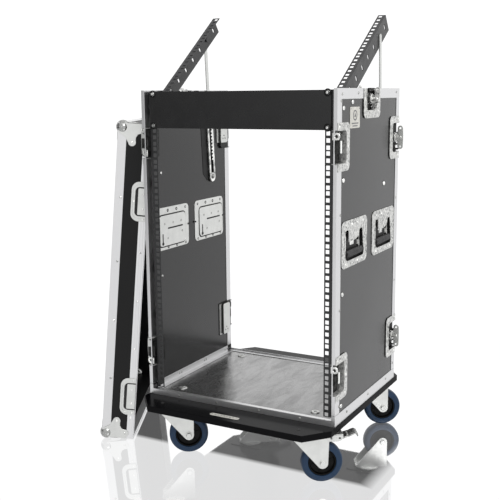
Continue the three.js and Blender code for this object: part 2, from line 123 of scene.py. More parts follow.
def arc(cx, cy, r, a0, a1, n):
    """Points from angle a0 to a1, in degrees."""
    return [
        (cx + r * math.cos(math.radians(a0 + (a1 - a0) * i / n)),
         cy + r * math.sin(math.radians(a0 + (a1 - a0) * i / n)))
        for i in range(n + 1)
    ]


def rounded(x0, y0, x1, y1, r, n=5):
    """Rectangle with corner radii low-left, low-right, high-right, high-left, or one for all."""
    r = [r] * 4 if isinstance(r, (int, float)) else r
    out = []
    for cx, cy, q, a in (
        (x0 + r[0], y0 + r[0], r[0], 180), (x1 - r[1], y0 + r[1], r[1], 270),
        (x1 - r[2], y1 - r[2], r[2], 0), (x0 + r[3], y1 - r[3], r[3], 90),
    ):
        out += arc(cx, cy, q, a, a + 90, n) if q > 0 else [(cx, cy)]
    return out


def circle(cx, cy, r, n=20):
    return arc(cx, cy, r, 0, 360 * (n - 1) / n, n - 1)


class Piece:
    """Collects geometry given in local millimetres, then becomes one object."""

    def __init__(self, name):
        self.name, self.v, self.f, self.k = name, [], [], []

    def add(self, m, verts, faces, mat=0):
        n = len(self.v)
        self.v += [m @ Vector(p) for p in verts]
        self.f += [[i + n for i in f] for f in faces]
        self.k += [mat] * len(faces)

    def plate(self, m, outer, w0, w1, holes=(), bevel=0.4, mat=0):
        """A flat outline with holes, grown along the third axis, its edges chamfered."""
        loops = [outer if area(outer) > 0 else outer[::-1]]
        loops += [h if area(h) < 0 else h[::-1] for h in holes]
        levels = [(w0, bevel), (w0 + bevel, 0), (w1 - bevel, 0), (w1, bevel)]
        verts, faces, starts = [], [], []
        for lp in loops:
            starts.append(len(verts))
            n = len(lp)
            for w, d in levels:
                verts += [(p[0], p[1], w) for p in (inset(lp, d) if d else lp)]
            s = starts[-1]
            for k in range(3):
                for i in range(n):
                    j = (i + 1) % n
                    a = s + k * n
                    faces.append((a + i, a + j, a + n + j, a + n + i))
        flat = [inset(lp, bevel) for lp in loops]
        index = [s + i for s, lp in zip(starts, loops) for i in range(len(lp))]
        top = [3 * len(lp) for lp in loops for _ in lp]
        points = [q for lp in flat for q in lp]
        for t in tessellate_polygon([[Vector((q[0], q[1], 0)) for q in lp] for lp in flat]):
            a, b, c = (points[i] for i in t)
            if (b[0] - a[0]) * (c[1] - a[1]) - (b[1] - a[1]) * (c[0] - a[0]) < 0:
                t = (t[0], t[2], t[1])
            faces.append(tuple(index[i] + top[i] for i in t))
            faces.append(tuple(index[i] for i in reversed(t)))
        self.add(m, verts, faces, mat)

    def block(self, m, x0, x1, y0, y1, z0, z1, bevel=0.5, mat=0):
        self.plate(m, [(x0, y0), (x1, y0), (x1, y1), (x0, y1)], z0, z1, (), bevel, mat)

    def lathe(self, m, profile, n=24, mat=0):
        """Profile (radius, along the third axis); radius 0 at an end closes it there."""
        verts, rings, faces = [], [], []
        for r, w in profile:
            if r < 1e-6:
                rings.append([len(verts)])
                verts.append((0, 0, w))
            else:
                rings.append(list(range(len(verts), len(verts) + n)))
                verts += [(r * math.cos(2 * math.pi * i / n), r * math.sin(2 * math.pi * i / n), w)
                          for i in range(n)]
        closed = profile[0][0] > 1e-6 and profile[-1][0] > 1e-6
        for a, b in zip(rings, rings[1:] + rings[:1] if closed else rings[1:]):
            for i in range(n):
                j = (i + 1) % n
                if len(a) == 1:
                    faces.append((a[0], b[j], b[i]))
                elif len(b) == 1:
                    faces.append((a[i], a[j], b[0]))
                else:
                    faces.append((a[i], a[j], b[j], b[i]))
        self.add(m, verts, faces, mat)

    def bar(self, m, p, q, r, n=14, mat=0):
        """A round bar with softened ends."""
        p, q = Vector(p), Vector(q)
        d = (q - p)
        e = d.normalized() * min(r * 0.25, d.length * 0.2)
        s = d.normalized().orthogonal().normalized()
        t = d.normalized().cross(s)
        verts, faces = [], []
        for c, k in ((p, 0.75), (p + e, 1.0), (q - e, 1.0), (q, 0.75)):
            for i in range(n):
                a = 2 * math.pi * i / n
                verts.append(c + (s * math.cos(a) + t * math.sin(a)) * r * k)
        for i in range(3):
            for j in range(n):
                a = i * n
                faces.append((a + j, a + (j + 1) % n, a + n + (j + 1) % n, a + n + j))
        faces.append(tuple(range(n))[::-1])
        faces.append(tuple(3 * n + j for j in range(n)))
        self.add(m, verts, faces, mat)

    def rivet(self, m, u, v, w=0.0, r=3.6, h=1.5, mat=0, n=16):
        """A low dome head standing on the plane w."""
        prof = [(0, w - 0.3), (r, w - 0.3), (r, w + 0.25 * h), (r * 0.86, w + 0.62 * h),
                (r * 0.55, w + 0.9 * h), (0, w + h)]
        self.lathe(move(m, u, v), prof, n, mat)

    def make(self, mats, body, slot, replaces=()):
        """One object on a body, standing for the CAD nodes it replaces; mats names its slots."""
        me = bpy.data.meshes.new(self.name)
        me.from_pydata([tuple(p) for p in self.v], [], self.f)
        me.polygons.foreach_set("material_index", self.k)
        bm = bmesh.new()
        bm.from_mesh(me)
        bmesh.ops.remove_doubles(bm, verts=bm.verts, dist=2e-7)
        bmesh.ops.recalc_face_normals(bm, faces=bm.faces)
        bm.to_mesh(me)
        bm.free()
        me.polygons.foreach_set("use_smooth", [True] * len(me.polygons))
        me.set_sharp_from_angle(angle=SMOOTH)
        for key in mats.split():
            me.materials.append(M[key])
        o = bpy.data.objects.new(self.name, me)
        bpy.context.scene.collection.objects.link(o)
        bpy.context.view_layer.update()
        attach(o, body)
        if replaces:
            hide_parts(*replaces)


# ---- materials ----
class Shader:
    def __init__(self, name):
        self.mat = bpy.data.materials.new(name)
        self.mat.use_nodes = True
        self.t = self.mat.node_tree
        self.b = self.t.nodes["Principled BSDF"]
        self.co = self.t.nodes.new("ShaderNodeTexCoord").outputs["Object"]

    def feed(self, socket, value):
        """Link an output to the socket, or set its value."""
        if hasattr(value, "links"):
            self.t.links.new(value, socket)
        else:
            socket.default_value = value

    def put(self, name, value):
        self.feed(self.b.inputs[name], value)

    def node(self, kind, **inputs):
        n = self.t.nodes.new(kind)
        for k, v in inputs.items():
            self.feed(n.inputs[k], v)
        return n

    def scaled(self, x, y, z):
        return self.node("ShaderNodeMapping", Vector=self.co, Scale=(x, y, z)).outputs[0]

    def noise(self, scale, detail=3.0, rough=0.55, vector=None, distort=0.0):
        return self.node("ShaderNodeTexNoise", Scale=scale, Detail=detail, Roughness=rough,
                         Distortion=distort, Vector=vector or self.co).outputs["Fac"]

    def cells(self, scale, out="Distance"):
        return self.node("ShaderNodeTexVoronoi", Scale=scale, Vector=self.co).outputs[out]

    def ramp(self, fac, stops):
        n = self.t.nodes.new("ShaderNodeValToRGB")
        self.t.links.new(fac, n.inputs[0])
        els = n.color_ramp.elements
        while len(els) < len(stops):
            els.new(0.5)
        for e, (pos, c) in zip(els, stops):
            e.position = pos
            e.color = (*c, 1) if isinstance(c, tuple) else (c, c, c, 1)
        return n.outputs[0]

    def mix(self, fac, a, b):
        n = self.t.nodes.new("ShaderNodeMix")
        n.data_type = "RGBA"
        for key, v in ((0, fac), (6, a), (7, b)):
            self.feed(n.inputs[key], (*v, 1) if isinstance(v, tuple) else v)
        return n.outputs[2]

    def math(self, op, a, b=0.0):
        n = self.t.nodes.new("ShaderNodeMath")
        n.operation = op
        for i, v in enumerate((a, b)):
            self.feed(n.inputs[i], v)
        return n.outputs[0]

    def bump(self, height, distance, strength, chain=None):
        more = {} if chain is None else {"Normal": chain}
        return self.node("ShaderNodeBump", Height=height, Strength=strength, Distance=distance,
                         **more).outputs[0]


def laminate(name, tone, gloss, level=0.5):
    """Phenolic-faced ply: very dark, fine pebble, faint smears in its sheen."""
    s = Shader(name)
    big = s.noise(5.0, 4.0, 0.6)
    s.put("Base Color", s.mix(s.noise(900, 2.0), (tone * 0.8,) * 3,
                              (tone * 1.25, tone * 1.25, tone * 1.32)))
    s.put("Roughness", s.ramp(big, [(0.3, gloss - 0.03), (0.7, gloss + 0.05)]))
    s.put("Normal", s.bump(s.cells(700), 0.00006, 0.35))
    s.b.inputs["Specular IOR Level"].default_value = level
    return s.mat


def film(name):
    """Glossy film on the floor panel: scuffed, dusty, with the veneer's figure showing through."""
    s = Shader(name)
    grain = s.noise(26, 6.0, 0.72, s.scaled(1.0, 0.35, 1.0), 0.8)
    dust = s.noise(380, 3.0, 0.7)
    cloud = s.noise(9, 5.0, 0.65)
    tone = s.mix(s.ramp(dust, [(0.60, 0.0), (0.72, 0.7)]), (0.004,) * 3, (0.06, 0.058, 0.056))
    s.put("Base Color", s.mix(s.ramp(cloud, [(0.45, 0.0), (0.8, 0.3)]), tone, (0.02, 0.02, 0.02)))
    s.put("Roughness", s.mix(s.ramp(grain, [(0.42, 0.0), (0.62, 1.0)]), (0.16,) * 3, (0.46,) * 3))
    s.put("Normal", s.bump(grain, 0.0009, 0.5, s.bump(s.noise(6, 2.0), 0.0012, 0.25)))
    s.put("Coat Normal", s.bump(grain, 0.0007, 0.35))
    wear = s.noise(34, 6.0, 0.75, s.scaled(1.0, 0.3, 1.0), 0.6)
    s.put("Coat Weight", s.ramp(wear, [(0.36, 0.55), (0.58, 1.0)]))
    s.b.inputs["IOR"].default_value = 1.9
    s.b.inputs["Coat IOR"].default_value = 1.7
    s.b.inputs["Coat Roughness"].default_value = 0.2
    return s.mat


def aluminium(name, along, light, rough):
    """Extruded, satin anodised: drawn streaks along its length and small dings."""
    s = Shader(name)
    streak = s.noise(60, 4.0, 0.65, s.scaled(*[3 if a else 40 for a in along]))
    cloud = s.noise(9, 3.0)
    s.put("Metallic", 1.0)
    a, b = light * 0.93, light * 1.04
    s.put("Base Color", s.mix(streak, (a, a, a * 1.005), (b, b, b * 1.01)))
    s.put("Roughness", s.mix(cloud, (rough - 0.06,) * 3, (rough + 0.07,) * 3))
    dings = s.bump(s.ramp(s.cells(38), [(0.0, 0.0), (0.06, 1.0)]), 0.00006, 0.25)
    s.put("Normal", s.bump(streak, 0.00003, 0.4, dings))
    return s.mat


def zinc(name, light, rough, blotch, metal=1.0):
    """Stamped steel with bright zinc: blotchy, slightly rolled surface."""
    s = Shader(name)
    spot = s.cells(blotch, out="Color")
    tint = s.node("ShaderNodeSeparateColor", Color=spot).outputs[0]
    soft = s.noise(blotch * 0.7, 4.0, 0.6)
    mixed = s.math("ADD", s.math("MULTIPLY", tint, 0.45), s.math("MULTIPLY", soft, 0.75))
    s.put("Metallic", metal)
    s.put("Base Color", s.ramp(mixed, [(0.33, (light * 0.42, light * 0.43, light * 0.42)),
                                       (0.52, (light, light * 1.005, light * 0.985)),
                                       (0.76, (light * 1.38, light * 1.38, light * 1.34))]))
    s.put("Roughness", s.ramp(soft, [(0.3, rough - 0.1), (0.7, rough + 0.14)]))
    fine = s.bump(s.noise(900, 2.0), 0.00005, 0.4)
    s.put("Normal", s.bump(s.noise(110, 4.0, 0.6), 0.0004, 0.5, fine))
    return s.mat


def satin(name, light, rough, metal=1.0):
    """Smooth zinc plate with faint clouds and rolling marks."""
    s = Shader(name)
    cloud = s.noise(45, 5.0, 0.6)
    s.put("Metallic", metal)
    s.put("Base Color", s.mix(cloud, (light * 0.88, light * 0.89, light * 0.87),
                              (light * 1.14, light * 1.15, light * 1.12)))
    s.put("Roughness", s.ramp(s.noise(120, 3.0), [(0.3, rough - 0.05), (0.7, rough + 0.06)]))
    s.put("Normal", s.bump(s.noise(70, 3.0), 0.00025, 0.4))
    return s.mat


def powder(name, tone, rough):
    """Black powder coat with fine orange peel, worn brighter in places."""
    s = Shader(name)
    wear = s.ramp(s.noise(70, 6.0, 0.75), [(0.62, 0.0), (0.8, 0.5)])
    s.put("Base Color", s.mix(wear, (tone, tone, tone * 1.08), (tone * 3, tone * 3, tone * 3.1)))
    s.put("Roughness", s.ramp(s.noise(30), [(0.3, rough - 0.05), (0.7, rough + 0.08)]))
    s.put("Normal", s.bump(s.noise(1300, 2.0), 0.00006, 0.5))
    return s.mat


def rubber(name, color, rough, grain=1500, level=0.5):
    """Moulded rubber or plastic: even colour, fine grain, dust in its roughness and tone."""
    s = Shader(name)
    dust = s.ramp(s.noise(55, 5.0, 0.7), [(0.5, 0.0), (0.8, 0.6)])
    light = tuple(c * 1.8 + 0.006 for c in color)
    s.put("Base Color", s.mix(dust, color, light))
    s.put("Roughness", s.ramp(s.noise(80), [(0.3, rough - 0.08), (0.7, rough + 0.1)]))
    s.put("Normal", s.bump(s.noise(grain, 2.0), 0.00008, 0.5))
    s.b.inputs["Specular IOR Level"].default_value = level
    return s.mat


def phenolic(name):
    """Glossy black phenolic board with a fine mesh print and dust; its sawn edges are duller."""
    s = Shader(name)
    normal = s.t.nodes.new("ShaderNodeTexCoord").outputs["Normal"]
    n = s.node("ShaderNodeSeparateXYZ", Vector=normal)
    edge = s.ramp(s.math("ABSOLUTE", n.outputs["Z"]), [(0.6, 1.0), (0.9, 0.0)])
    dust = s.ramp(s.noise(300, 4.0, 0.7), [(0.64, 0.0), (0.8, 0.4)])
    top = s.mix(dust, (0.002, 0.002, 0.0025), (0.03, 0.03, 0.032))
    s.put("Base Color", s.mix(edge, top, (0.003, 0.003, 0.0035)))
    gloss = s.ramp(s.noise(8, 4.0), [(0.35, 0.16), (0.7, 0.26)])
    s.put("Roughness", s.mix(edge, gloss, (0.5,) * 3))
    s.b.inputs["IOR"].default_value = 1.14
    s.put("Normal", s.bump(s.cells(260), 0.00008, 0.3))
    return s.mat


M = {
    "side": laminate("side_laminate", 0.007, 0.23),
    "lid": laminate("lid_laminate", 0.005, 0.42, 0.2),
    "film": film("base_film"),
    "alu_z": aluminium("aluminium_upright", (0, 0, 1), 0.68, 0.33),
    "alu_y": aluminium("aluminium_deep", (0, 1, 0), 0.68, 0.33),
    "alu_x": aluminium("aluminium_wide", (1, 0, 0), 0.68, 0.33),
    "alu_lid": aluminium("aluminium_lid", (0, 0, 1), 0.72, 0.36),
    "zinc": zinc("zinc_stamped", 0.52, 0.34, 210),
    # darker copy of the stamped zinc: painted shade on the small parts that take it
    "zinc_dark": zinc("zinc_painted_shade", 0.36, 0.4, 220),
    "zinc_bright": zinc("zinc_polished", 0.70, 0.24, 90),
    "steel": powder("steel_powder_coat", 0.010, 0.38),
    "panel": powder("panel_powder_coat", 0.004, 0.24),
    "grip": rubber("grip_rubber_moulded", (0.010, 0.010, 0.011), 0.5),
    "tyre": rubber("tyre_blue_elastic", (0.006, 0.024, 0.058), 0.45, 900, 0.3),
    "hub": rubber("hub_black_nylon", (0.001, 0.001, 0.001), 0.5, 700, 0.15),
    "board": phenolic("board_phenolic"),
    "badge": rubber("badge_plate", (0.50, 0.49, 0.45), 0.5),
    "print": powder("badge_print", 0.10, 0.5),
    # near-black sheet put where recesses, holes, gaps and flanges lie in shade: painted shade
    "dark": powder("recess_painted_shade", 0.003, 0.6),
    # steel darkened to near-black for the latch pockets and the folded wings: painted shade, as the
    # real metal there is the same zinc
    "pocket": zinc("steel_painted_shade", 0.04, 0.45, 220),
    # dimmer, half-metallic copy of the zinc for the front pockets' walls: painted shade
    "inside": zinc("zinc_pocket_wall_painted_shade", 0.30, 0.4, 260, 0.3),
    "keeper": satin("zinc_keeper", 0.85, 0.5, 0.1),
    "castor": satin("zinc_satin", 0.62, 0.42),
    "cover": satin("zinc_cover", 0.66, 0.36),
    # polished metal with its colour darkened: a painted reflection of the dark case in the balls
    "ball": satin("ball_polished_painted_reflection", 0.34, 0.08),
}


def dress(node, mat, width=0.0, segments=1):
    """A CAD node keeps its shape and gets a finish and, where width is given, eased edges."""
    o = NODES[node]
    o.data.materials.clear()
    o.data.materials.append(M[mat])
    w = o.modifiers.new("weld", "WELD")
    w.merge_threshold = 1e-6
    if width:
        b = o.modifiers.new("ease", "BEVEL")
        b.width = width * MM
        b.segments = segments
        b.limit_method = "ANGLE"
        b.angle_limit = math.radians(50)
    for p in o.data.polygons:
        p.use_smooth = False


SIDES = (("right", 1), ("left", -1))
for side, _ in SIDES:
    dress("side_panel_" + side, "side")
    dress("side_edging_" + side, "alu_z", width=0.7, segments=2)
    dress("inner_angle_" + side, "alu_y", width=0.4)
    dress("rack_rail_" + side, "steel", width=0.35)
    dress("mixer_rail_" + side, "steel", width=0.35)
    dress("stay_rod_" + side, "castor", width=0.8)
dress("base_panel", "film")
dress("base_edging", "alu_x", width=0.5)
dress("blank_panel", "panel", width=0.3)
dress("castor_board", "board", width=1.2, segments=2)
dress("lid_shell", "lid")
dress("lid_edging", "alu_z", width=0.3)


# ---- frames on the case ----
def wall(s, y, z, w0=PANEL_OUT):
    """On a side wall seen from outside: along the wall, up, outward."""
    return axes((s * w0, y, z), (0, s, 0), (0, 0, 1), (s, 0, 0))


def lining(s, y, z, w0=PANEL_IN):
    """On a side wall's inner face: along the wall, up, toward the middle."""
    return axes((s * w0, y, z), (0, -s, 0), (0, 0, 1), (-s, 0, 0))


LATCHES = {
    "front_upper": ((FRONT, LATCH_HIGH), -EY), "front_lower": ((FRONT, LATCH_LOW), -EY),
    "rear_upper": ((REAR, REAR_HIGH), EY), "rear_lower": ((REAR, REAR_LOW), EY),
    "top": ((LATCH_TOP_Y, CASE_TOP), EZ),
}
ALONG = Matrix(((0, 0, 1, 0), (1, 0, 0, 0), (0, 1, 0, 0), (0, 0, 0, 1)))  # a, b, c -> v, w, u
PROFILE = Matrix(((1, 0, 0, 0), (0, 0, -1, 0), (0, 1, 0, 0), (0, 0, 0, 1)))  # a, b, c -> u, w, -v


def latch_frame(s, where):
    """At the case's edge beside a latch: over the edge, along it, outward."""
    (y, z), u = LATCHES[where]
    w = EX * s
    return axes((s * OUT, y, z), u, w.cross(u), w)


# ---- recessed butterfly latches ----
HUB_U = -25.0  # the wing's axle, inward from the case's edge
POCKET_G, POCKET_FAR = 37.5, -52.0  # pocket: half its length, and how far inward it reaches
POCKET_FLOOR = -12.6


def notch(g, far, r, near=-1.2, n=5):
    """Outline of a pocket open to the case's edge."""
    return [(near, -g), *arc(far + r, -g + r, r, 270, 180, n), *arc(far + r, g - r, r, 180, 90, n),
            (near, g)]


def latch_dish(side, s, where):
    """Flange, pocket with its sloping floor, eye, and the hook over the case's edge."""
    m = latch_frame(s, where)
    p = Piece(f"latch_dish_{side}_{where}")
    g, far = POCKET_G, POCKET_FAR
    mouth = notch(g - 0.6, far + 0.6, 8)
    outer = [(-1.2, 54), *arc(-56, 40, 14, 90, 180, 7), *arc(-56, -40, 14, 180, 270, 7),
             (-1.2, -54)]
    p.plate(m, mouth + outer, 0.25, 1.5, (), 0.4)
    p.plate(m, mouth + notch(g + 2.6, far - 2.6, 11)[::-1], 1.2, 2.2, (), 0.35)
    # the pocket's rear walls, floor, slope, foot, hook and block take the darkened steel, and the
    # front pockets' walls a dimmer zinc: painted shade inside the pocket
    rim = notch(g - 1.4, far + 1.4, 8) + notch(g - 0.2, far + 0.2, 9)[::-1]
    p.plate(m, rim, -13.6, 1.6, (), 0.2, 3 if where.startswith("front") else 1)
    p.plate(m, notch(g - 0.3, far + 0.3, 9, -16.0), -14.0, -12.7, (), 0.3, 1)
    slope = [(-16.2, -13.9), (-2.0, -8.6), (-2.0, -7.6), (-16.2, -12.8)]
    p.plate(m @ PROFILE, slope, -g + 0.4, g - 0.4, (), 0.2, 1)
    eye = m @ ALONG
    ring = [(-16.0, POCKET_FLOOR), *arc(-24.5, -3.2, 8.8, -14, 194, 16), (-33.0, POCKET_FLOOR)]
    p.plate(eye, ring, -5.0, -2.2, [circle(-24.5, -3.2, 3.7)], 0.7, 2)
    foot = [(-17, -31.6), (-2.6, -31.6), (-2.6, -16.4), (-17, -16.4)]
    p.plate(m, foot, POCKET_FLOOR, -10.6, (), 0.5, 1)
    hook = [(-11, -13.2), (-6, -13.2), (-3.5, -5.6), (0.6, -5.6), (0.6, 2.2), (-2, 2.2), (-2, -2.6),
            (-6.5, -2.6), (-10, -9.6), (-11, -9.6)]
    p.plate(m @ PROFILE, hook, -12.5, 12.5, (), 0.5, 1)
    p.block(m, -22, -9, -5, 5, -11.5, -9.5, 0.5, 1)
    for u, v in ((-10, 45.5), (-10, -45.5), (-56, 42), (-56, -42), (-61, 0)):
        p.rivet(m, u, v, 1.5, 3.1, 1.3, 2)
    for v in (-30, 30):
        p.rivet(m, -44, v, -12.7, 2.6, 1.6, 2)
    p.make("zinc pocket zinc_bright inside", "case", "zinc_plate",
           [f"latch_housing_{side}_{where}"])


def latch_wing(side, s, where):
    """The wing on its hub: lying in the pocket where it is folded, else a blade standing out."""
    folded = side == "right" and where.startswith("front")
    turn = {"right": -115, "left": -65}[side] if where == "top" else 0
    m = move(latch_frame(s, where), HUB_U, turn=turn)
    p = Piece(f"latch_butterfly_{side}_{where}")
    if folded:
        # the folded wing and its hub take the darkened steel: painted shade in the pocket; only the
        # bar across it keeps a pale zinc
        p.lathe(m, [(0, -12.5), (12, -12.5), (12, -6), (11.2, -5.2), (9.4, -5.2), (9.2, -6.4),
                    (7.8, -6.4), (7.6, -4.9), (0, -4.9)], 28, 3)
        half = [*arc(0, 22.4, 7.6, -52, 232, 16)]
        out = half + [(-a, -b) for a, b in half]
        p.plate(m, out, -5.0, -2.9, [circle(0, 0, 2.2, 12)], 0.6, 3)
        p.plate(m, rounded(-4.6, -14, 1.4, 14, 2.2, 3), -3.2, -0.5, (), 0.6, 4)
        for v in (-23, 23):
            p.lathe(move(m, 0, v), [(0, -3.2), (4.4, -3.2), (4.0, -2.3), (0, -1.9)], 16, 3)
    else:
        p.lathe(m, [(0, -12.5), (12, -12.5), (12, -9), (10.6, -8.6), (10.6, -7.2), (12, -6.8),
                    (12, -3.4), (10.6, -3), (10.6, -1.6), (12, -1.2), (12, 0.7), (11.2, 1.6),
                    (8.6, 1.9), (8.2, 0.6), (6.6, 0.6), (6.2, 2.9), (0, 3.2)], 28)
        p.plate(m, rounded(-3.6, -5.6, 3.6, 5.6, 2.4, 3), 2.4, 7.5, (), 0.5)
        blade = m @ ALONG
        c = 10.6 if where == "top" else 13
        out = [*arc(22.6, c, 7.6, -74, 74, 10), (10, c + 7.9), (0, c + 8), (-10, c + 7.9),
               *arc(-22.6, c, 7.6, 106, 254, 10), (-10, c - 7.9), (0, c - 8), (10, c - 7.9)]
        holes = [circle(v, c, 2.3, 14) for v in (-23.2, 23.2)]
        p.plate(blade, out, -1.5, 1.5, holes, 0.7, 0 if where == "top" else 2)
        p.lathe(blade @ Matrix.Translation((0, c, 0)),
                [(0, -3.4), (2.6, -3.4), (3.6, -2.6), (3.6, 2.6), (2.6, 3.4), (0, 3.4)], 18, 1)
    p.make("zinc zinc_bright castor pocket keeper",
           f"latch_wing_{side}_{where}", "zinc_plate", [f"latch_wing_{side}_{where}"])


# ---- recessed spring handles ----
# opening of a tray: along the wall and up from its middle
MOUTH = [(-54, -35), (-42, -39.5), (54, -39.5), (58, -36), (58, -26), (54.5, -10), (49.5, 24),
         (46, 27.5), (34, 27.8), (28.8, 25), (27, 18), (21, 10.5), (10, 6.5), (0, 5.2),
         (-36.5, 4), (-36, 8), (-36, 28), (-39, 32), (-50, 33), (-56, 31), (-58, 26), (-57.5, -27)]
TUB_FLOOR = 250.4


def handle_dish(side, s, tail, cy):
    """Stamped tray round its mouth, a tub behind it painted near-black as shade, screws and
    dimples.
    """
    m = wall(s, cy, HANDLE_Z, 0)
    p = Piece(f"handle_tray_{side}_{tail}")
    w = PANEL_OUT
    face = rounded(-78.5, -55, 78.5, 55, 16, 8)
    p.plate(m, face, w + 0.25, w + 1.7, [MOUTH], 0.5)
    p.plate(m, face, w + 1.4, w + 2.2, [inset(face, 3.2)], 0.35)
    p.plate(m, inset(MOUTH, -2.4), w + 1.4, w + 2.4, [MOUTH], 0.4)
    tub = rounded(-60, -43.4, 60, 35, 9.5, 5)
    # the tub's walls and floor are near-black: painted shade in the recess, though from inside the
    # case the same tub is drawn in zinc
    p.plate(m, tub, TUB_FLOOR, 259.2, [inset(tub, 1.1)], 0.2, 1)
    p.plate(m, inset(tub, 0.3), TUB_FLOOR, TUB_FLOOR + 0.6, (), 0.2, 1)
    p.plate(m, rounded(-9, -8, 14, 3, 2.4, 3), 250.9, 252.2, (), 0.4, 2)
    p.plate(m, rounded(36.5, -13, 40, -1, 1.2, 3), 250.9, 252.2, (), 0.4, 2)
    for k in range(4):
        for v in (-46.5, 44.5):
            head = [(0, 1.4), (3.4, 1.4), (3.2, 2.3), (1.9, 2.8), (1.5, 2.0), (0, 2.0)]
            p.lathe(move(m, -51 + 34 * k, v, w), head, 16, 2)
    for u, v in ((-66, 8), (-66, -18), (67, 8), (67, -18), (0, 20), (-22, 24), (16, 27)):
        p.lathe(move(m, u, v, w), [(0, 1.5), (2.6, 1.5), (2.2, 2.0), (0, 2.3)], 12)
    p.make("zinc dark zinc_bright", "case", "zinc_plate",
           [f"handle_dish_{side}_{tail}"])


def handle_bail(side, s, tail, cy):
    """Pin, two cranked straps and a ribbed grip."""
    m = wall(s, cy, HANDLE_Z, 0)
    p = Piece(f"handle_grip_{side}_{tail}")
    x, gx, gz = 252.6, 257.8, -23.8  # depth of the pin; depth and height of the grip
    p.bar(m, (-57.0, PIN_Z, x), (57.0, PIN_Z, x), 1.5, 14, 1)
    across = axes_of(m, (0, 1, 0), (0, 0, 1), (1, 0, 0))  # up, outward, along the wall
    for u, out in ((-51.0, 4.6), (40.4, 2.0)):
        strap = [*arc(PIN_Z, x, 1.5, -90, 90, 6), (PIN_Z - 7, x + out), (gz, x + out + 0.2),
                 (gz, x + out - 2.2), (PIN_Z - 9, x + out - 2.4), (PIN_Z - 4, x - 1.4)]
        p.plate(across, strap, u, u + 4.6, (), 0.4, 1)
    # near-black discs at the pin's ends: painted shade in the pin holes
    for u in (-54.2, 52.4):
        p.lathe(across @ Matrix.Translation((PIN_Z, x, 0)),
                [(0, u), (2.3, u), (2.3, u + 1.8), (0, u + 1.8)], 16, 2)
    grip = across @ Matrix.Translation((gz, gx, 0)) @ Matrix.Diagonal((1.0, 0.72, 1.0, 1.0))
    prof = [(0, -46.4), (6.4, -46.4), (7.6, -45.6)]
    ribs = 19
    for i in range(ribs):
        a = -44 + 88 * i / (ribs - 1)
        full = 8.8 - 0.8 * (a / 45) ** 4
        prof += [(full - 1.2, a - 2.2), (full, a - 1.4), (full, a + 1.4), (full - 1.2, a + 2.2)]
    prof += [(7.6, 45.6), (6.4, 46.4), (0, 46.4)]
    p.lathe(grip, prof, 28, 0)
    p.make("grip zinc_bright dark", f"handle_bail_{side}_{tail}", "grip_rubber",
           [f"handle_bail_{side}_{tail}"])


# ---- embossed covers on the inner side of the handle trays ----
def back_cover(side, s, tail, cy, y0, y1):
    """The tub's back and a flange that reaches from y0 to y1 along the wall."""
    m = lining(s, cy, HANDLE_Z)
    a, b = sorted((-s * (y0 - cy), -s * (y1 - cy)))
    mid, share = (a + b) / 2, (b - a) / 157
    p = Piece(f"handle_cover_{side}_{tail}")
    tub = rounded(-61.2, -44.6, 61.2, 36.2, 10.5, 5)
    p.plate(m, rounded(a, -54.5, b, 56.5, 12, 6), 0.2, 1.5, [inset(tub, -2.4)], 0.5)
    # the ring round the tub, the discs under the screws, the raised bars, the round pad and the end
    # blocks take the near-black material: painted shade
    p.plate(m, inset(tub, -3.6), 0.05, 0.5, [inset(tub, 3)], 0.1, 1)
    p.plate(m, inset(tub, 0.6), 2.0, 3.2, (), 0.55)
    p.plate(m, inset(tub, 0.7), 0.2, 2.4, [inset(tub, 1.9)], 0.2)
    for u in (-63, -20, 20, 63):
        for v in (-48.5, 47.5):
            c = mid + share * u
            p.plate(m, circle(c, v, 4.2 if abs(u) < 30 else 3.4, 14), 1.3, 1.8, (), 0.2, 1)
            p.lathe(move(m, c, v), [(0, 1.7), (1.6, 1.7), (1.4, 2.2), (0, 2.3)], 10)
    for u, v in ((-38, 14), (1.5, 14), (39, 14), (-23.5, -25), (44, -14)):
        p.plate(m, circle(u, v, 3.1, 14), 3.1, 3.5, (), 0.15, 2)
    p.plate(m, rounded(-23.5, -1.0, 47, 3.0, 1.9, 3), 3.1, 3.6, (), 0.2, 1)
    p.plate(m, rounded(-49, -38, -45, -11, 1.9, 3), 3.1, 3.6, (), 0.2, 1)
    p.plate(m, circle(-47, -37, 4.4, 14), 3.1, 3.8, (), 0.2, 1)
    for u in (a, b):
        p.block(m, u - 5, u + 5, -2.2, 2.2, 1.2, 3.0, 0.5, 1)
    p.make("cover dark zinc_dark", "case", "zinc_plate")


